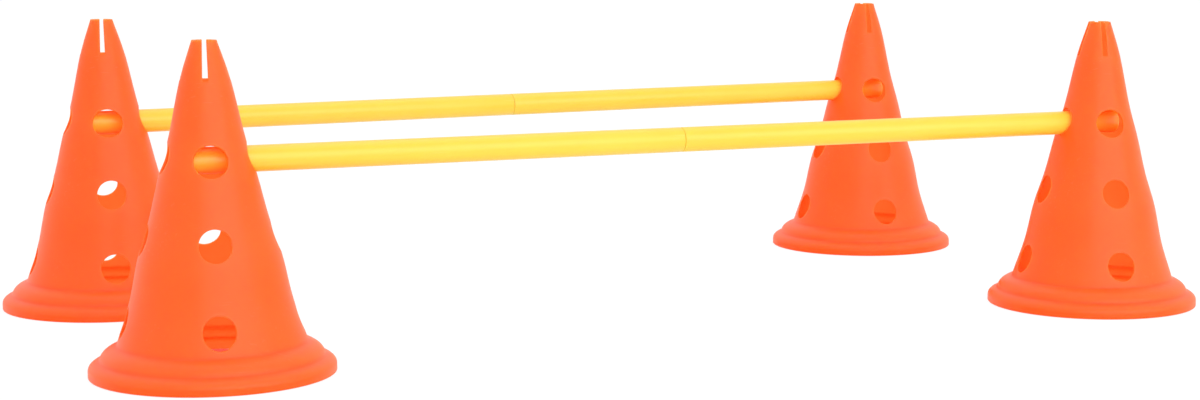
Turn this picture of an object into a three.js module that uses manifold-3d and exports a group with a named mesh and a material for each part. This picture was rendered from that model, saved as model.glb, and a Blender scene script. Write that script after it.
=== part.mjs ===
// Two training hurdles for dogs: four slotted plastic cones and two yellow bars laid through
// their top holes. Millimetres, +Z up. The origin is on the floor, in the middle of the set.
import * as THREE from 'three';
import { mergeVertices } from 'three/addons/utils/BufferGeometryUtils.js';
import Module from 'manifold-3d';

const wasm = await Module();
wasm.setup();

// Cone: a thin hollow moulding, open below and at its mouth
const coneHeight = 300;
const coneWall = 2.4;
const mouthRadius = 11.3;
const bodyRadius = 84.9;
// Points of the body's outline: share of its height, then share of its narrowing
const bodyOutlineShares = [
  [0, 0],
  [0.14, 0.168],
  [0.287, 0.288],
  [0.412, 0.433],
  [0.551, 0.56],
  [0.677, 0.692],
  [0.875, 0.855],
  [1, 1],
];

// Foot of the cone: a wide rim with a narrower step on it, both rounded over
const rimRadius = 110.9;
const rimHeight = 14.3;
const rimEdge = 6.2;
const stepRadius = 100.3;
const stepHeight = 13.2;
const stepEdge = 0.4;
const edgeArc = THREE.MathUtils.degToRad(60);
const bodyFillet = 0.6;

// Holes for the bars, at three heights on each of four sides; the top ones are wider than high
const holeRadius = 14.7;
const topHoleRadius = 15.3;
const topHoleSquash = 0.94;
const lowHoleHeight = 49;
const middleHoleHeight = 123;
const topHoleHeight = 195;

// Slots that split the mouth into four fingers, a little narrower at the top
const slotDepth = 35.5;
const slotRootWidth = 5.6;
const slotMouthWidth = 4.4;
const slotTurn = THREE.MathUtils.degToRad(-4.5);

// Bar: two tubes that push together over a hidden coupling
const barPlay = 2.3;
const barWall = 1.6;
const barEndRound = 0.6;
const leftTubeLength = 490;
const rightTubeLength = 509.7;
const seamGap = 0.3;
const couplingLength = 80;
const couplingWall = 2;
const couplingClearance = 0.3;
const seatGap = 0.6;

// Where each hurdle stands, measured from the front left cone, and how its bar runs
const frontHurdle = {
  side: 'front',
  offsetX: 0,
  offsetY: 0,
  barAngle: THREE.MathUtils.degToRad(8.3),
  leftTurn: THREE.MathUtils.degToRad(-0.4),
  rightTurn: THREE.MathUtils.degToRad(-3.6),
  leftReach: 65,
  rightReach: 64.5,
};
const backHurdle = {
  side: 'back',
  offsetX: -70.8,
  offsetY: 390.8,
  barAngle: THREE.MathUtils.degToRad(13.4),
  leftTurn: THREE.MathUtils.degToRad(1.5),
  rightTurn: THREE.MathUtils.degToRad(1.5),
  leftReach: 63,
  rightReach: 65.2,
};

// Fineness of round shapes, and how far a cut runs past the wall
const coneSides = 24;
const roundSteps = 2;
const holeSides = 20;
const barSides = 24;
const overrun = 10;

// Worked out from the sizes above
const quarterTurn = Math.PI / 2;
const stepTop = rimHeight + stepHeight;
const bodyFoot = stepTop + bodyFillet;
const bodyHeight = coneHeight - bodyFoot;
const barRadius = topHoleRadius * topHoleSquash - barPlay;
const tubeBore = barRadius - barWall;
const couplingRadius = tubeBore - couplingClearance;
const barHeight = topHoleHeight - barPlay + seatGap;
const barLength = leftTubeLength + seamGap + rightTubeLength;
const cutLength = 2 * (rimRadius + overrun);

function bodyOutline(inset) {
  return bodyOutlineShares.map(([heightShare, narrowShare]) => new THREE.Vector2(
    THREE.MathUtils.lerp(bodyRadius, mouthRadius, narrowShare) - inset,
    bodyFoot + heightShare * bodyHeight,
  ));
}

function bodyRadiusAt(height) {
  const outline = bodyOutline(0);
  const upper = Math.max(1, outline.findIndex((point) => point.y >= height));
  const low = outline[upper - 1];
  const high = outline[upper];
  return THREE.MathUtils.mapLinear(height, low.y, high.y, low.x, high.x);
}

// Curve that leaves the outside of a ring straight up and leans over to its inner edge
function roundedEdge(outer, inner, low, high) {
  const points = [];
  for (let i = 0; i <= roundSteps; i += 1) {
    const angle = edgeArc * i / roundSteps;
    const outShare = (Math.cos(angle) - Math.cos(edgeArc)) / (1 - Math.cos(edgeArc));
    const upShare = Math.sin(angle) / Math.sin(edgeArc);
    points.push(new THREE.Vector2(
      THREE.MathUtils.lerp(inner, outer, outShare),
      THREE.MathUtils.lerp(low, high, upShare),
    ));
  }
  return points;
}

function footOutline(inset) {
  const stepFoot = rimHeight + stepEdge;
  return [
    new THREE.Vector2(rimRadius - inset, 0),
    ...roundedEdge(rimRadius - inset, stepRadius - inset, rimEdge, rimHeight - inset),
    ...roundedEdge(stepRadius - inset, bodyRadius - inset, stepFoot, stepTop - inset),
  ];
}

// Ring turned about +Z from an outline that closes on itself
function turnedSolid(outline, sides) {
  const ring = new THREE.LatheGeometry([...outline, outline[0]], sides);
  ring.rotateX(quarterTurn);
  return toSolid(ring);
}

function toSolid(geometry) {
  geometry.deleteAttribute('normal');
  geometry.deleteAttribute('uv');
  const merged = mergeVertices(geometry);
  return new wasm.Manifold(new wasm.Mesh({
    numProp: 3,
    vertProperties: new Float32Array(merged.attributes.position.array),
    triVerts: new Uint32Array(merged.index.array),
  }));
}

function toGeometry(solid) {
  const { vertProperties, triVerts } = solid.getMesh();
  const geometry = new THREE.BufferGeometry();
  geometry.setAttribute('position', new THREE.BufferAttribute(vertProperties, 3));
  geometry.setIndex(new THREE.BufferAttribute(triVerts, 1));
  geometry.computeVertexNormals();
  return geometry;
}

// Straight cut through both walls of the cone, along Y and then turned about +Z
function holeCut(height, radius, squash, turn) {
  const cut = new THREE.CylinderGeometry(radius, radius, cutLength, holeSides);
  cut.scale(1, 1, squash);
  cut.rotateZ(turn);
  cut.translate(0, 0, height);
  return toSolid(cut);
}

// Tapered cut down from the mouth, through both walls
function slotCut(turn) {
  const root = slotRootWidth / 2;
  const mouth = slotMouthWidth / 2;
  const slotBottom = coneHeight - slotDepth;
  const outline = new THREE.Shape([
    new THREE.Vector2(-root, slotBottom),
    new THREE.Vector2(root, slotBottom),
    new THREE.Vector2(mouth, coneHeight),
    new THREE.Vector2(mouth, coneHeight + overrun),
    new THREE.Vector2(-mouth, coneHeight + overrun),
    new THREE.Vector2(-mouth, coneHeight),
  ]);
  const cut = new THREE.ExtrudeGeometry(outline, { depth: cutLength, bevelEnabled: false });
  cut.translate(0, 0, -cutLength / 2);
  cut.rotateX(quarterTurn);
  cut.rotateZ(turn + slotTurn);
  return toSolid(cut);
}

function coneGeometry() {
  const outside = [...footOutline(0), ...bodyOutline(0)];
  const inside = [...footOutline(coneWall), ...bodyOutline(coneWall)].reverse();
  const holeRows = [
    [lowHoleHeight, holeRadius, 1],
    [middleHoleHeight, holeRadius, 1],
    [topHoleHeight, topHoleRadius, topHoleSquash],
  ];
  let shell = turnedSolid([...outside, ...inside], coneSides);
  for (const turn of [0, quarterTurn]) {
    for (const [height, radius, squash] of holeRows) {
      shell = shell.subtract(holeCut(height, radius, squash, turn));
    }
    shell = shell.subtract(slotCut(turn));
  }
  return toGeometry(shell);
}

// Tube lying along +X from the origin
function tubeGeometry(outer, inner, length, endRound) {
  const tube = turnedSolid([
    new THREE.Vector2(inner, 0),
    new THREE.Vector2(outer - endRound, 0),
    new THREE.Vector2(outer, endRound),
    new THREE.Vector2(outer, length - endRound),
    new THREE.Vector2(outer - endRound, length),
    new THREE.Vector2(inner, length),
  ], barSides);
  const geometry = toGeometry(tube);
  geometry.rotateY(quarterTurn);
  return geometry;
}

function orangePlastic() {
  return new THREE.MeshStandardMaterial({ color: 0xff6a32, roughness: 0.5, metalness: 0 });
}

function yellowPlastic() {
  return new THREE.MeshStandardMaterial({ color: 0xffe14d, roughness: 0.4, metalness: 0 });
}

function greyPlastic() {
  return new THREE.MeshStandardMaterial({ color: 0xb9bbb6, roughness: 0.6, metalness: 0 });
}

function namedMesh(name, geometry, material) {
  const mesh = new THREE.Mesh(geometry, material);
  mesh.name = name;
  return mesh;
}

const coneShape = coneGeometry();

function buildBar(side, leftReach) {
  const bar = new THREE.Group();
  const seam = leftTubeLength - leftReach;
  const leftTube = namedMesh(
    `${side}_left_tube`,
    tubeGeometry(barRadius, tubeBore, leftTubeLength, barEndRound),
    yellowPlastic(),
  );
  leftTube.position.x = -leftReach;
  const rightTube = namedMesh(
    `${side}_right_tube`,
    tubeGeometry(barRadius, tubeBore, rightTubeLength, barEndRound),
    yellowPlastic(),
  );
  rightTube.position.x = seam + seamGap;
  const coupling = namedMesh(
    `${side}_coupling`,
    tubeGeometry(couplingRadius, couplingRadius - couplingWall, couplingLength, barEndRound),
    greyPlastic(),
  );
  coupling.position.x = seam + (seamGap - couplingLength) / 2;
  bar.add(leftTube, rightTube, coupling);
  return bar;
}

// The bar runs through the centres of the two facing top holes
function buildHurdle(hurdle) {
  const group = new THREE.Group();
  const up = new THREE.Vector3(0, 0, 1);
  const holeOffset = bodyRadiusAt(topHoleHeight);
  const leftHole = new THREE.Vector3(holeOffset, 0, 0).applyAxisAngle(up, hurdle.leftTurn);
  const rightHole = new THREE.Vector3(-holeOffset, 0, 0).applyAxisAngle(up, hurdle.rightTurn);
  const holeDistance = barLength - hurdle.leftReach - hurdle.rightReach;
  const alongBar = new THREE.Vector3(holeDistance, 0, 0).applyAxisAngle(up, hurdle.barAngle);

  const leftCone = namedMesh(`${hurdle.side}_left_cone`, coneShape, orangePlastic());
  leftCone.rotation.z = hurdle.leftTurn;
  const rightCone = namedMesh(`${hurdle.side}_right_cone`, coneShape, orangePlastic());
  rightCone.position.copy(leftHole).add(alongBar).sub(rightHole);
  rightCone.rotation.z = hurdle.rightTurn;

  const bar = buildBar(hurdle.side, hurdle.leftReach);
  bar.position.set(leftHole.x, leftHole.y, barHeight);
  bar.rotation.z = hurdle.barAngle;
  group.add(leftCone, rightCone, bar);
  group.position.set(hurdle.offsetX, hurdle.offsetY, 0);
  return group;
}

const hurdleSet = new THREE.Group();
hurdleSet.add(buildHurdle(frontHurdle), buildHurdle(backHurdle));

// Centre the set over the origin
hurdleSet.updateMatrixWorld(true);
const middle = new THREE.Box3().setFromObject(hurdleSet, true).getCenter(new THREE.Vector3());
hurdleSet.position.set(-middle.x, -middle.y, 0);

export default hurdleSet;
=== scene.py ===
import math

import bmesh
import bpy
from mathutils import Matrix, Vector


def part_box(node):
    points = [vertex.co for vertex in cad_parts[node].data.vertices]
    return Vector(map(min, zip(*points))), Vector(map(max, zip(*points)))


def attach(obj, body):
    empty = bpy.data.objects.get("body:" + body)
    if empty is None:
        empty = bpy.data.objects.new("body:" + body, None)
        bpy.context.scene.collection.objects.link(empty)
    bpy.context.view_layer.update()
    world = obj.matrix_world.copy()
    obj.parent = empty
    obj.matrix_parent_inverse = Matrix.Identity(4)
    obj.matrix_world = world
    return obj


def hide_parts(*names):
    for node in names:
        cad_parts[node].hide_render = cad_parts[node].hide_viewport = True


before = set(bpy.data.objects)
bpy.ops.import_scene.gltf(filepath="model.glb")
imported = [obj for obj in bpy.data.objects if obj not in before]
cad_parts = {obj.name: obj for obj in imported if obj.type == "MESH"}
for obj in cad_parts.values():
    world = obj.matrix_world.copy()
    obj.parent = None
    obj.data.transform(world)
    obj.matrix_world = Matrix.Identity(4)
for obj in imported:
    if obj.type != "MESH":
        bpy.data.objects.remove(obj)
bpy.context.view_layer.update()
fullTurn = 2 * math.pi
quarterTurn = fullTurn / 4
floatLow, floatHigh, floatResult = 2, 3, 0  # sockets of a mix node set to numbers
mixLow, mixHigh, mixResult = 6, 7, 2  # and of one set to colours
print("frame loaded:", len(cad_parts), "nodes")


# Camera: stands where the photographer stood, all in metres and degrees
photoView = {
    "place": (-0.60954, -2.37231, 0.42053),
    "yaw": 17.175,
    "pitch": 9.083,
    "roll": 0.240,
    "lens": 68.637,
    "sensor": 36.0,
    "shiftX": -0.0875,
    "shiftY": 0.0583,
    "farthest": 100,
}


def makeCamera(view):
    yaw = math.radians(view["yaw"])
    pitch = math.radians(view["pitch"])
    ahead = Vector((
        math.sin(yaw) * math.cos(pitch),
        math.cos(yaw) * math.cos(pitch),
        -math.sin(pitch),
    ))
    level = Vector((math.cos(yaw), -math.sin(yaw), 0))
    roll = Matrix.Rotation(-math.radians(view["roll"]), 3, ahead)
    right = roll @ level
    upward = right.cross(ahead)
    turn = Matrix((right, upward, -ahead)).transposed().to_4x4()

    data = bpy.data.cameras.new("photoCamera")
    data.sensor_fit = "HORIZONTAL"
    data.sensor_width = view["sensor"]
    data.lens = view["lens"]
    data.shift_x = view["shiftX"]
    data.shift_y = view["shiftY"]
    data.clip_end = view["farthest"]
    camera = bpy.data.objects.new("photoCamera", data)
    camera.matrix_world = Matrix.Translation(view["place"]) @ turn
    bpy.context.scene.collection.objects.link(camera)
    bpy.context.scene.camera = camera


makeCamera(photoView)
print("camera placed")


# Node helpers
def addNode(tree, kind, spot, **values):
    node = tree.nodes.new(kind)
    node.location = spot
    for name, value in values.items():
        setattr(node, name, value)
    return node


def setInputs(node, **values):
    for name, value in values.items():
        node.inputs[name].default_value = value


def newMaterial(name):
    material = bpy.data.materials.new(name)
    material.use_nodes = True
    tree = material.node_tree
    tree.nodes.clear()
    output = addNode(tree, "ShaderNodeOutputMaterial", (700, 0))
    shader = addNode(tree, "ShaderNodeBsdfPrincipled", (350, 0))
    tree.links.new(shader.outputs["BSDF"], output.inputs["Surface"])
    return material, tree, shader


def newGroup(name, inputs, outputs):
    group = bpy.data.node_groups.new(name, "ShaderNodeTree")
    for label, kind, default in inputs:
        socket = group.interface.new_socket(label, in_out="INPUT", socket_type=kind)
        if default is not None:
            socket.default_value = default
    for label, kind in outputs:
        group.interface.new_socket(label, in_out="OUTPUT", socket_type=kind)
    start = addNode(group, "NodeGroupInput", (-900, 0))
    end = addNode(group, "NodeGroupOutput", (700, 0))
    return group, start, end


# Faint grain and slow unevenness of a moulded plastic skin
def mouldedSkin():
    group, start, end = newGroup(
        "mouldedSkin",
        [
            ("Vector", "NodeSocketVector", None),
            ("Grain Scale", "NodeSocketFloat", 900.0),
            ("Wave Scale", "NodeSocketFloat", 22.0),
            ("Grain Share", "NodeSocketFloat", 0.35),
        ],
        [("Height", "NodeSocketFloat"), ("Cloud", "NodeSocketFloat")],
    )
    grain = addNode(group, "ShaderNodeTexNoise", (-600, 200))
    setInputs(grain, Detail=3.0, Roughness=0.6)
    wave = addNode(group, "ShaderNodeTexNoise", (-600, -100))
    setInputs(wave, Detail=2.0, Roughness=0.5)
    cloud = addNode(group, "ShaderNodeTexNoise", (-600, -400))
    setInputs(cloud, Scale=9.0, Detail=3.0, Roughness=0.55)
    blend = addNode(group, "ShaderNodeMix", (-200, 100), data_type="FLOAT")
    spread = addNode(group, "ShaderNodeMapRange", (-200, -400))
    setInputs(spread, **{"From Min": 0.3, "From Max": 0.7})
    link = group.links.new
    for texture in (grain, wave, cloud):
        link(start.outputs["Vector"], texture.inputs["Vector"])
    link(start.outputs["Grain Scale"], grain.inputs["Scale"])
    link(start.outputs["Wave Scale"], wave.inputs["Scale"])
    link(start.outputs["Grain Share"], blend.inputs["Factor"])
    link(wave.outputs["Fac"], blend.inputs[floatLow])
    link(grain.outputs["Fac"], blend.inputs[floatHigh])
    link(cloud.outputs["Fac"], spread.inputs["Value"])
    link(blend.outputs[floatResult], end.inputs["Height"])
    link(spread.outputs["Result"], end.inputs["Cloud"])
    return group


# Thin rubbed lines, denser in some patches than in others
def hairScuffs():
    group, start, end = newGroup(
        "hairScuffs",
        [
            ("Vector", "NodeSocketVector", None),
            ("Along", "NodeSocketFloat", 12.0),
            ("Across", "NodeSocketFloat", 420.0),
        ],
        [("Mask", "NodeSocketFloat")],
    )
    stretch = addNode(group, "ShaderNodeCombineXYZ", (-700, 200))
    scale = addNode(group, "ShaderNodeVectorMath", (-500, 100), operation="MULTIPLY")
    lines = addNode(group, "ShaderNodeTexNoise", (-300, 100))
    setInputs(lines, Scale=1.0, Detail=2.0, Roughness=0.5)
    patches = addNode(group, "ShaderNodeTexNoise", (-300, -200))
    setInputs(patches, Scale=14.0, Detail=1.0)
    fine = addNode(group, "ShaderNodeMapRange", (-50, 100))
    setInputs(fine, **{"From Min": 0.62, "From Max": 0.72})
    where = addNode(group, "ShaderNodeMapRange", (-50, -200))
    setInputs(where, **{"From Min": 0.45, "From Max": 0.7})
    both = addNode(group, "ShaderNodeMath", (200, 0), operation="MULTIPLY")
    link = group.links.new
    link(start.outputs["Along"], stretch.inputs["X"])
    link(start.outputs["Across"], stretch.inputs["Y"])
    link(start.outputs["Across"], stretch.inputs["Z"])
    link(start.outputs["Vector"], scale.inputs[0])
    link(stretch.outputs["Vector"], scale.inputs[1])
    link(scale.outputs["Vector"], lines.inputs["Vector"])
    link(start.outputs["Vector"], patches.inputs["Vector"])
    link(lines.outputs["Fac"], fine.inputs["Value"])
    link(patches.outputs["Fac"], where.inputs["Value"])
    link(fine.outputs["Result"], both.inputs[0])
    link(where.outputs["Result"], both.inputs[1])
    link(both.outputs["Value"], end.inputs["Mask"])
    return group


skinGroup = mouldedSkin()
scuffGroup = hairScuffs()


def useGroup(tree, group, spot, **values):
    node = addNode(tree, "ShaderNodeGroup", spot, node_tree=group)
    setInputs(node, **values)
    return node


# Object coordinates about a piece's own middle, turned with it
def placedCoordinates(tree, centre, turn):
    source = addNode(tree, "ShaderNodeTexCoord", (-1300, 0))
    shift = addNode(tree, "ShaderNodeVectorMath", (-1120, 0), operation="SUBTRACT")
    shift.inputs[1].default_value = centre
    rotate = addNode(tree, "ShaderNodeMapping", (-940, 0))
    rotate.inputs["Rotation"].default_value = (0, 0, -turn)
    tree.links.new(source.outputs["Object"], shift.inputs[0])
    tree.links.new(shift.outputs["Vector"], rotate.inputs["Vector"])
    return rotate.outputs["Vector"]


def colourMix(tree, spot, factor, low, high):  # low is a colour or another node's output
    mix = addNode(tree, "ShaderNodeMix", spot, data_type="RGBA")
    if isinstance(low, bpy.types.NodeSocket):
        tree.links.new(low, mix.inputs[mixLow])
    else:
        mix.inputs[mixLow].default_value = low
    mix.inputs[mixHigh].default_value = high
    tree.links.new(factor, mix.inputs["Factor"])
    return mix.outputs[mixResult]


def rangeOf(tree, spot, value, low, high):
    spread = addNode(tree, "ShaderNodeMapRange", spot)
    setInputs(spread, **{"To Min": low, "To Max": high})
    tree.links.new(value, spread.inputs["Value"])
    return spread.outputs["Result"]


def bumpFrom(tree, spot, height, strength, distance):
    bump = addNode(tree, "ShaderNodeBump", spot)
    setInputs(bump, Strength=strength, Distance=distance)
    tree.links.new(height, bump.inputs["Height"])
    return bump.outputs["Normal"]


footCreaseShade = {  # painted shade: the darker tone in the two creases of a cone's foot, where shade falls
    "heights": (0.0146, 0.0280),
    "reach": 0.0035,
    "share": 0.4,
    "colour": (0.84, 0.07, 0.004, 1),
}


# Painted shade: a mask that darkens bands at the two crease heights of the foot
def paintedCreaseShade(tree, place):
    split = addNode(tree, "ShaderNodeSeparateXYZ", (-900, 600))
    tree.links.new(place, split.inputs["Vector"])
    masks = []
    for height in footCreaseShade["heights"]:
        off = addNode(tree, "ShaderNodeMath", (-750, 600), operation="SUBTRACT")
        off.inputs[1].default_value = height
        far = addNode(tree, "ShaderNodeMath", (-600, 600), operation="ABSOLUTE")
        near = addNode(
            tree, "ShaderNodeMapRange", (-450, 600), interpolation_type="SMOOTHSTEP"
        )
        setInputs(near, **{
            "From Max": footCreaseShade["reach"], "To Min": footCreaseShade["share"], "To Max": 0.0
        })
        tree.links.new(split.outputs["Z"], off.inputs[0])
        tree.links.new(off.outputs["Value"], far.inputs[0])
        tree.links.new(far.outputs["Value"], near.inputs["Value"])
        masks.append(near.outputs["Result"])
    either = addNode(tree, "ShaderNodeMath", (-250, 600), operation="MAXIMUM")
    tree.links.new(masks[0], either.inputs[0])
    tree.links.new(masks[1], either.inputs[1])
    return either.outputs["Value"]


# The emission strength and colour of each finish are painted glow, standing in for light that
# passes through the thin wall
plasticFinish = {
    "orange": {
        "low": (0.99, 0.113, 0.008, 1),
        "high": (1.0, 0.123, 0.011, 1),
        "scuff": (0.98, 0.21, 0.09, 1),
        "scuffShare": 0.3,
        "shine": 0.31,
        # painted glow on the outside of the orange wall
        "paintedGlow": 0.15,
        "paintedGlowColour": (1.0, 0.04, 0.0, 1),
        "roughness": (0.36, 0.46),
        "grainBump": 0.12,
        "grainDepth": 0.0004,
        "glowWeight": 1.0,
        "glowReach": (1.0, 0.6, 0.4),
        "glowScale": 0.02,
    },
    # Inside wall: the same orange plastic painted paler and given more painted glow, standing in
    # for light that passes through the wall into the cone
    "orangeInsidePaintedLight": {
        "low": (0.99, 0.13, 0.03, 1),
        "high": (1.0, 0.142, 0.038, 1),
        "scuff": (0.97, 0.16, 0.05, 1),
        "scuffShare": 0.2,
        "shine": 0.2,
        "paintedGlow": 0.2,
        "paintedGlowColour": (1.0, 0.1, 0.01, 1),
        "roughness": (0.5, 0.6),
        "grainBump": 0.2,
        "grainDepth": 0.0005,
        "glowWeight": 1.0,
        "glowReach": (1.0, 0.6, 0.4),
        "glowScale": 0.02,
    },
    "yellow": {
        "low": (0.95, 0.615, 0.047, 1),
        "high": (0.97, 0.645, 0.062, 1),
        "scuff": (0.98, 0.8, 0.25, 1),
        "scuffShare": 0.35,
        "shine": 0.5,
        "paintedGlow": 0.0,
        "paintedGlowColour": (1.0, 1.0, 1.0, 1),
        "roughness": (0.28, 0.38),
        "grainBump": 0.08,
        "grainDepth": 0.0003,
        "glowWeight": 0.3,
        "glowReach": (1.0, 0.7, 0.15),
        "glowScale": 0.003,
    },
    "grey": {
        "low": (0.42, 0.43, 0.41, 1),
        "high": (0.5, 0.51, 0.48, 1),
        "scuff": (0.62, 0.62, 0.6, 1),
        "scuffShare": 0.6,
        "shine": 0.5,
        "paintedGlow": 0.0,
        "paintedGlowColour": (1.0, 1.0, 1.0, 1),
        "roughness": (0.42, 0.56),
        "grainBump": 0.16,
        "grainDepth": 0.0004,
        "glowWeight": 0.0,
        "glowReach": (1.0, 1.0, 1.0),
        "glowScale": 0.001,
    },
}


def plasticMaterial(name, finish, centre, turn):
    material, tree, shader = newMaterial(name)
    look = plasticFinish[finish]
    place = placedCoordinates(tree, centre, turn)
    skin = useGroup(tree, skinGroup, (-700, 150))
    scuffs = useGroup(tree, scuffGroup, (-700, -200))
    tree.links.new(place, skin.inputs["Vector"])
    tree.links.new(place, scuffs.inputs["Vector"])
    tone = colourMix(tree, (-400, 300), skin.outputs["Cloud"], look["low"], look["high"])
    rubbed = rangeOf(tree, (-400, -50), scuffs.outputs["Mask"], 0.0, look["scuffShare"])
    tone = colourMix(tree, (-150, 300), rubbed, tone, look["scuff"])
    # painted shade in the two creases of the foot
    if finish == "orange":
        creaseShade = paintedCreaseShade(tree, place)
        tone = colourMix(tree, (50, 400), creaseShade, tone, footCreaseShade["colour"])
    tree.links.new(tone, shader.inputs["Base Color"])
    roughness = rangeOf(tree, (-400, 100), skin.outputs["Cloud"], *look["roughness"])
    tree.links.new(roughness, shader.inputs["Roughness"])
    normal = bumpFrom(
        tree, (-150, -200), skin.outputs["Height"], look["grainBump"], look["grainDepth"]
    )
    tree.links.new(normal, shader.inputs["Normal"])
    # the emission set here is painted glow, not a lamp
    setInputs(shader, **{
        "Subsurface Weight": look["glowWeight"],
        "Subsurface Radius": look["glowReach"],
        "Subsurface Scale": look["glowScale"],
        "Specular IOR Level": look["shine"],
        "Emission Color": look["paintedGlowColour"],
        "Emission Strength": look["paintedGlow"],
    })
    return material


# Cone
coneSize = {
    "height": 0.300,
    "wall": 0.0022,
    "rimRadius": 0.1106,
    "rimHeight": 0.0143,
    "rimEdge": 0.0062,
    "stepRadius": 0.1003,
    "stepTop": 0.0275,
    "stepEdge": 0.0004,
    "edgeArc": 60,  # degrees
    "rimRows": 4,
    "footSteps": 9,
    "filletRises": (0.001, 0.002, 0.0035),  # rows just above the foot, from the body's own foot
    "footSoftening": 2,
    "bodyRow": 0.0032,  # height of one row of faces, below the top holes and above them
    "neckRow": 0.003,
    "sides": 120,
    "edgeRound": 0.0005,
    "edgeSegments": 3,
    "sharpestSmooth": 50,  # degrees
    "mergeReach": 0.00001,
}
bodyOutline = [  # height and radius of the outside wall, in metres
    (0.0281, 0.0849),
    (0.0662, 0.0725),
    (0.1061, 0.0637),
    (0.1401, 0.0530),
    (0.1779, 0.0437),
    (0.2122, 0.0340),
    (0.2660, 0.0220),
    (0.3000, 0.0113),
]
holeRows = [  # height, radius, rise over width, half the columns and half the height of its patch
    (0.049, 0.0147, 1.0, 5, 0.017),
    (0.123, 0.0147, 1.0, 6, 0.017),
    (0.195, 0.0153, 0.94, 9, 0.017),
]
holeRings = {"rings": 5, "patchRows": 12, "columnMargin": 0.1}
slotSize = {
    "turn": -4.5,  # degrees
    "depth": 0.0355,
    "rootWidth": 0.0056,
    "mouthWidth": 0.0044,
    "columns": (-4, 1),  # first and last column line of the slot
    "warpFrom": 0.232,  # the columns lean over to the slot's sides above this height
}


# Smooth curve through the body's outline
def wallRadius(height):
    last = len(bodyOutline) - 1
    index = 0
    while index < last - 1 and height > bodyOutline[index + 1][0]:
        index += 1
    before = bodyOutline[max(index - 1, 0)]
    low = bodyOutline[index]
    high = bodyOutline[index + 1]
    after = bodyOutline[min(index + 2, last)]
    span = high[0] - low[0]
    t = min(max((height - low[0]) / span, 0), 1)
    lowSlope = (high[1] - before[1]) / (high[0] - before[0]) * span
    highSlope = (after[1] - low[1]) / (after[0] - low[0]) * span
    return (
        (2 * t**3 - 3 * t**2 + 1) * low[1]
        + (t**3 - 2 * t**2 + t) * lowSlope
        + (3 * t**2 - 2 * t**3) * high[1]
        + (t**3 - t**2) * highSlope
    )


# Leaves the outside of a ring straight up and leans inward
def roundedEdge(outer, inner, low, high):
    arc = math.radians(coneSize["edgeArc"])
    steps = coneSize["footSteps"]
    points = []
    for i in range(steps + 1):
        angle = arc * i / steps
        outShare = (math.cos(angle) - math.cos(arc)) / (1 - math.cos(arc))
        upShare = math.sin(angle) / math.sin(arc)
        points.append((inner + (outer - inner) * outShare, low + (high - low) * upShare))
    return points


# Eases the creases of an outline and keeps its two ends
def softened(points, rounds):
    for _ in range(rounds):
        middle = [
            tuple((a + 2 * b + c) / 4 for a, b, c in zip(before, point, after))
            for before, point, after in zip(points, points[1:], points[2:])
        ]
        points = [points[0]] + middle + [points[-1]]
    return points


def risenBy(start, rise, rows):  # heights of the rows that climb from start
    return [start + rise * (i + 1) / rows for i in range(rows)]


# Outline of the outside of a cone, from the floor to its mouth
def coneProfile():
    s = coneSize
    bodyFoot, bodyRadius = bodyOutline[0]
    stepFoot = s["rimHeight"] + s["stepEdge"]
    rows = s["rimRows"]
    foot = [(s["rimRadius"], s["rimEdge"] * i / rows) for i in range(rows)]
    foot += roundedEdge(s["rimRadius"], s["stepRadius"], s["rimEdge"], s["rimHeight"])
    foot += roundedEdge(s["stepRadius"], bodyRadius, stepFoot, s["stepTop"])
    foot.append((bodyRadius, bodyFoot))
    foot += [(wallRadius(bodyFoot + rise), bodyFoot + rise) for rise in s["filletRises"]]
    profile = softened(foot, s["footSoftening"])
    heights = [profile[-1][1]]
    for centre, _, _, _, half in holeRows:
        gap = centre - half - heights[-1]
        heights += risenBy(heights[-1], gap, max(1, round(gap / s["bodyRow"])))
        heights += risenBy(centre - half, 2 * half, holeRings["patchRows"])
    slotBottom = s["height"] - slotSize["depth"]
    for top in (slotBottom, s["height"]):
        gap = top - heights[-1]
        heights += risenBy(heights[-1], gap, round(gap / s["neckRow"]))
    profile += [(wallRadius(height), height) for height in heights[1:]]
    return profile


# Swaps a patch of the wall's faces for rings of faces that run in to a round hole
def cutHole(bm, quarter, height, radius, squash, halfColumns, halfHeight):
    facing = quarter * quarterTurn
    reach = (halfColumns + holeRings["columnMargin"]) * fullTurn / coneSize["sides"]
    patch = []
    for face in bm.faces:
        middle = face.calc_center_median()
        off = math.remainder(math.atan2(middle.y, middle.x) - facing, fullTurn)
        if abs(off) < reach and abs(middle.z - height) < halfHeight:
            patch.append(face)
    chosen = set(patch)
    border = [
        edge for face in patch for edge in face.edges
        if sum(linked in chosen for linked in edge.link_faces) == 1
    ]
    border = list(dict.fromkeys(border))
    bmesh.ops.delete(bm, geom=patch, context="FACES")
    border = [edge for edge in border if edge.is_valid]
    stand = Matrix.Rotation(quarterTurn, 4, "Y")
    ring = bmesh.ops.create_circle(
        bm, cap_ends=False, radius=radius, segments=len(border), matrix=stand
    )["verts"]
    for vert in ring:
        vert.co.z = height + squash * vert.co.z
        vert.co.x = math.sqrt(wallRadius(vert.co.z) ** 2 - vert.co.y ** 2)
    bmesh.ops.rotate(bm, verts=ring, cent=(0, 0, 0), matrix=Matrix.Rotation(facing, 3, "Z"))
    ringEdges = list(dict.fromkeys(edge for vert in ring for edge in vert.link_edges))
    bridge = bmesh.ops.bridge_loops(bm, edges=border + ringEdges)
    spokes = [edge for edge in bridge["edges"] if edge not in ringEdges]
    made = bmesh.ops.subdivide_edges(
        bm, edges=spokes, cuts=holeRings["rings"], use_grid_fill=True
    )
    for item in made["geom_inner"]:
        if isinstance(item, bmesh.types.BMVert):
            settle(item)


# Moves a point onto the wall, along its own radius
def settle(vert):
    flat = math.hypot(vert.co.x, vert.co.y)
    scale = wallRadius(vert.co.z) / flat
    vert.co.x *= scale
    vert.co.y *= scale


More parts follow.
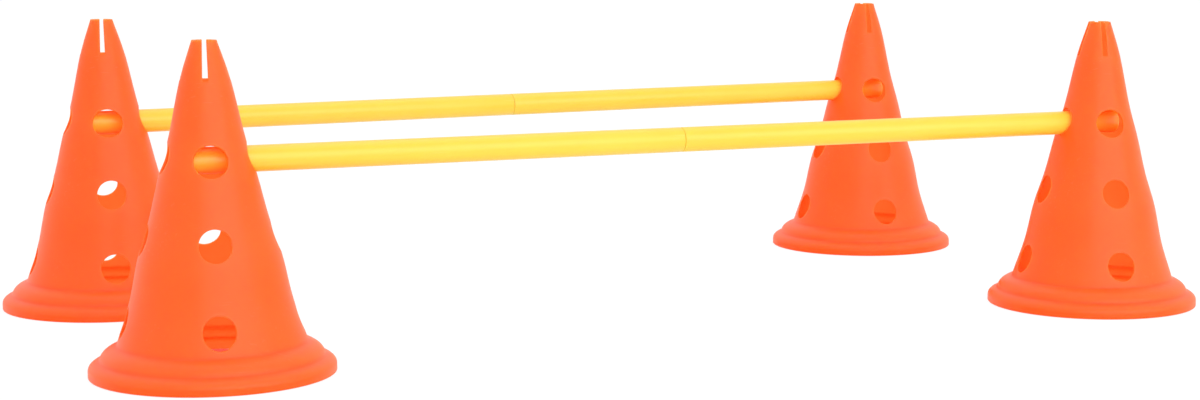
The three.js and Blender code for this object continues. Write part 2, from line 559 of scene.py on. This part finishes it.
# Takes out the slots' columns, then leans the rest over to the slots' tapered sides
def cutSlots(bm):
    columnStep = fullTurn / coneSize["sides"]
    bottom = coneSize["height"] - slotSize["depth"]
    first, last = (column * columnStep for column in slotSize["columns"])
    eighth = quarterTurn / 2
    gone = []
    for face in bm.faces:
        middle = face.calc_center_median()
        if middle.z < bottom:
            continue
        off = math.remainder(math.atan2(middle.y, middle.x), quarterTurn)
        if first < off < last:
            gone.append(face)
    bmesh.ops.delete(bm, geom=gone, context="FACES")
    middleTurn = math.radians(slotSize["turn"])
    for vert in bm.verts:
        if vert.co.z <= slotSize["warpFrom"]:
            continue
        radius = math.hypot(vert.co.x, vert.co.y)
        angle = math.atan2(vert.co.y, vert.co.x)
        off = math.remainder(angle, quarterTurn)
        rise = min(max((vert.co.z - bottom) / slotSize["depth"], 0), 1)
        width = slotSize["rootWidth"] + (slotSize["mouthWidth"] - slotSize["rootWidth"]) * rise
        half = math.asin(width / 2 / radius)
        blend = min((vert.co.z - slotSize["warpFrom"]) / (bottom - slotSize["warpFrom"]), 1)
        newFirst = first + (middleTurn - half - first) * blend
        newLast = last + (middleTurn + half - last) * blend
        if off <= first:
            moved = -eighth + (off + eighth) * (newFirst + eighth) / (first + eighth)
        elif off >= last:
            moved = eighth - (eighth - off) * (eighth - newLast) / (eighth - last)
        else:
            moved = newFirst + (off - first) * (newLast - newFirst) / (last - first)
        turned = angle + moved - off
        vert.co.x = radius * math.cos(turned)
        vert.co.y = radius * math.sin(turned)


def coneMesh():
    bm = bmesh.new()
    verts = [bm.verts.new((radius, 0, height)) for radius, height in coneProfile()]
    edges = [bm.edges.new(pair) for pair in zip(verts, verts[1:])]
    bmesh.ops.spin(
        bm, geom=verts + edges, cent=(0, 0, 0), axis=(0, 0, 1),
        angle=fullTurn, steps=coneSize["sides"], use_merge=True,
    )
    for quarter in range(4):
        for hole in holeRows:
            cutHole(bm, quarter, *hole)
    cutSlots(bm)
    bmesh.ops.remove_doubles(bm, verts=bm.verts, dist=coneSize["mergeReach"])
    bmesh.ops.recalc_face_normals(bm, faces=bm.faces)
    outward = sum(face.normal.dot(face.calc_center_median()) for face in bm.faces)
    if outward < 0:
        bmesh.ops.reverse_faces(bm, faces=bm.faces)
    for face in bm.faces:
        face.smooth = True
    mesh = bpy.data.meshes.new("coneShell")
    bm.to_mesh(mesh)
    bm.free()
    return mesh


def nodeMiddle(node):
    low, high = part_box(node)
    return (low + high) / 2


coneTurns = {  # degrees about +Z
    "front_left": -0.4,
    "front_right": -3.6,
    "back_left": 1.5,
    "back_right": 1.5,
}
shellMesh = coneMesh()


def makeCone(corner):
    node = corner + "_cone"
    turn = math.radians(coneTurns[corner])
    middle = nodeMiddle(node)
    middle.z = 0
    mesh = shellMesh.copy()
    mesh.transform(Matrix.Translation(middle) @ Matrix.Rotation(turn, 4, "Z"))
    piece = bpy.data.objects.new(corner + "_cone_shell", mesh)
    bpy.context.scene.collection.objects.link(piece)
    # the inside wall takes the paler, more glowing copy of the orange, as painted light
    for name, finish in (("_cone_outside", "orange"), ("_cone_inside", "orangeInsidePaintedLight")):
        mesh.materials.append(plasticMaterial(corner + name, finish, middle, turn))
    thick = piece.modifiers.new("wall", "SOLIDIFY")
    thick.thickness = coneSize["wall"]
    thick.offset = -1
    thick.use_even_offset = True
    thick.use_rim = True
    thick.material_offset = 1
    edge = piece.modifiers.new("edges", "BEVEL")
    edge.width = coneSize["edgeRound"]
    edge.segments = coneSize["edgeSegments"]
    edge.limit_method = "ANGLE"
    edge.angle_limit = math.radians(coneSize["sharpestSmooth"])
    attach(piece, corner + "_stand")
    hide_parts(node)


for corner in coneTurns:
    makeCone(corner)
print("cones made")


# Bar
barSize = {
    "sides": 64,
    "endSegments": 3,
    "mergeReach": 0.000001,
}
barPieces = {
    "left_tube": {
        "length": 0.490, "radius": 0.01208, "bore": 0.0105, "endRound": 0.0006,
        "body": "bar_left", "finish": "yellow", "slot": "bar_plastic",
    },
    "right_tube": {
        "length": 0.5097, "radius": 0.01208, "bore": 0.0105, "endRound": 0.0006,
        "body": "bar_right", "finish": "yellow", "slot": "bar_plastic",
    },
    "coupling": {
        "length": 0.080, "radius": 0.0102, "bore": 0.0082, "endRound": 0.0008,
        "body": "bar_left", "finish": "grey", "slot": "coupling_plastic",
    },
}
barAngles = {"front": 8.3, "back": 13.4}  # degrees about +Z


# Tube along +X about the origin
def tubeMesh(name, outer, bore, length, rounding):
    bm = bmesh.new()
    half = length / 2
    corners = [(-half, bore), (-half, outer), (half, outer), (half, bore)]
    verts = [bm.verts.new((x, 0, r)) for x, r in corners]
    edges = [bm.edges.new((verts[i], verts[i - 1])) for i in range(len(verts))]
    bmesh.ops.spin(
        bm, geom=verts + edges, cent=(0, 0, 0), axis=(1, 0, 0),
        angle=fullTurn, steps=barSize["sides"], use_merge=True,
    )
    bmesh.ops.remove_doubles(bm, verts=bm.verts, dist=barSize["mergeReach"])
    bmesh.ops.recalc_face_normals(bm, faces=bm.faces)
    rims = [edge for edge in bm.edges if abs(edge.verts[0].co.x - edge.verts[1].co.x) < rounding]
    bmesh.ops.bevel(
        bm, geom=rims, offset=rounding, offset_type="OFFSET",
        segments=barSize["endSegments"], profile=0.5, material=-1, affect="EDGES",
    )
    for face in bm.faces:
        face.smooth = True
    mesh = bpy.data.meshes.new(name)
    bm.to_mesh(mesh)
    bm.free()
    return mesh


def makeTube(side, name, size):
    node = f"{side}_{name}"
    turn = math.radians(barAngles[side])
    mesh = tubeMesh(
        node + "_skin", size["radius"], size["bore"], size["length"], size["endRound"]
    )
    middle = nodeMiddle(node)
    mesh.transform(Matrix.Translation(middle) @ Matrix.Rotation(turn, 4, "Z"))
    piece = bpy.data.objects.new(node + "_skin", mesh)
    bpy.context.scene.collection.objects.link(piece)
    mesh.materials.append(plasticMaterial(node + "_plastic", size["finish"], middle, turn))
    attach(piece, f"{side}_{size['body']}")
    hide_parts(node)


for side in barAngles:
    for name, size in barPieces.items():
        makeTube(side, name, size)
print("bars made")


# Floor and light
stageLook = {
    "floorSize": 60.0,
    "floorDrop": 0.0003,
    "floorColour": (0.93, 0.93, 0.93, 1),
    "floorGlow": 0.85,
    "glowStrength": 1.07,
    "openReach": 0.3,
    "openShares": (0.1, 0.3),  # the floor's openness to the sky where its glow starts and is full
    "openSamples": 6,
    "skyStrength": 0.76,
    "maxBounces": 20,
    "diffuseBounces": 16,
}


# One for a ray from the camera, a reflection or a see-through part
def seenRay(tree):
    ray = addNode(tree, "ShaderNodeLightPath", (-700, 300))
    either = addNode(tree, "ShaderNodeMath", (-500, 300), operation="MAXIMUM")
    anyOf = addNode(tree, "ShaderNodeMath", (-300, 300), operation="MAXIMUM")
    tree.links.new(ray.outputs["Is Camera Ray"], either.inputs[0])
    tree.links.new(ray.outputs["Is Glossy Ray"], either.inputs[1])
    tree.links.new(either.outputs["Value"], anyOf.inputs[0])
    tree.links.new(ray.outputs["Is Transmission Ray"], anyOf.inputs[1])
    return anyOf.outputs["Value"]


def makeFloor():
    bm = bmesh.new()
    bmesh.ops.create_grid(bm, x_segments=1, y_segments=1, size=stageLook["floorSize"] / 2)
    bmesh.ops.translate(bm, verts=bm.verts, vec=(0, 0, -stageLook["floorDrop"]))
    mesh = bpy.data.meshes.new("floor")
    bm.to_mesh(mesh)
    bm.free()
    floor = bpy.data.objects.new("floor", mesh)
    bpy.context.scene.collection.objects.link(floor)
    material = bpy.data.materials.new("floorWhite")
    material.use_nodes = True
    tree = material.node_tree
    tree.nodes.clear()
    output = addNode(tree, "ShaderNodeOutputMaterial", (500, 0))
    paint = addNode(tree, "ShaderNodeBsdfDiffuse", (0, 100))
    paint.inputs["Color"].default_value = stageLook["floorColour"]
    glow = addNode(tree, "ShaderNodeEmission", (0, -100))
    glow.inputs["Strength"].default_value = stageLook["glowStrength"]
    openSky = addNode(tree, "ShaderNodeAmbientOcclusion", (-600, -200))
    openSky.samples = stageLook["openSamples"]
    openSky.inputs["Distance"].default_value = stageLook["openReach"]
    outside = addNode(tree, "ShaderNodeMapRange", (-300, -200))  # no glow inside a cone
    low, high = stageLook["openShares"]
    setInputs(outside, **{"From Min": low, "From Max": high, "To Max": stageLook["floorGlow"]})
    seen = addNode(tree, "ShaderNodeMath", (-50, 300), operation="MULTIPLY")
    mix = addNode(tree, "ShaderNodeMixShader", (250, 0))
    tree.links.new(openSky.outputs["AO"], outside.inputs["Value"])
    tree.links.new(outside.outputs["Result"], seen.inputs[1])
    tree.links.new(seenRay(tree), seen.inputs[0])
    tree.links.new(seen.outputs["Value"], mix.inputs["Fac"])
    tree.links.new(paint.outputs["BSDF"], mix.inputs[1])
    tree.links.new(glow.outputs["Emission"], mix.inputs[2])
    tree.links.new(mix.outputs["Shader"], output.inputs["Surface"])
    mesh.materials.append(material)


def makeSky():
    world = bpy.data.worlds.new("studio")
    bpy.context.scene.world = world
    world.use_nodes = True
    tree = world.node_tree
    tree.nodes.clear()
    output = addNode(tree, "ShaderNodeOutputWorld", (500, 0))
    soft = addNode(tree, "ShaderNodeBackground", (0, 100))
    soft.inputs["Strength"].default_value = stageLook["skyStrength"]
    white = addNode(tree, "ShaderNodeBackground", (0, -100))
    mix = addNode(tree, "ShaderNodeMixShader", (250, 0))
    tree.links.new(seenRay(tree), mix.inputs["Fac"])
    tree.links.new(soft.outputs["Background"], mix.inputs[1])
    tree.links.new(white.outputs["Background"], mix.inputs[2])
    tree.links.new(mix.outputs["Shader"], output.inputs["Surface"])
    for background in (soft, white):
        background.inputs["Color"].default_value = (1, 1, 1, 1)


studioLamps = {  # place, aim, width, height, power
    "keyLamp": ((1.1, -3.4, 1.5), (0.1, 0, 0.1), 5.4, 2.8, 84),
    "topLamp": ((0.0, 0.6, 3.4), (0, 0, 0.1), 3.0, 3.0, 21),
}


def makeLamp(name, place, aim, width, height, power):
    data = bpy.data.lights.new(name, "AREA")
    data.shape = "RECTANGLE"
    data.size = width
    data.size_y = height
    data.energy = power
    lamp = bpy.data.objects.new(name, data)
    direction = Vector(aim) - Vector(place)
    turn = direction.to_track_quat("-Z", "Y").to_matrix().to_4x4()
    lamp.matrix_world = Matrix.Translation(place) @ turn
    bpy.context.scene.collection.objects.link(lamp)


makeFloor()
makeSky()
for lampName, values in studioLamps.items():
    makeLamp(lampName, *values)
bpy.context.scene.view_settings.view_transform = "Standard"
bpy.context.scene.cycles.max_bounces = stageLook["maxBounces"]
bpy.context.scene.cycles.diffuse_bounces = stageLook["diffuseBounces"]
print("stage lit")
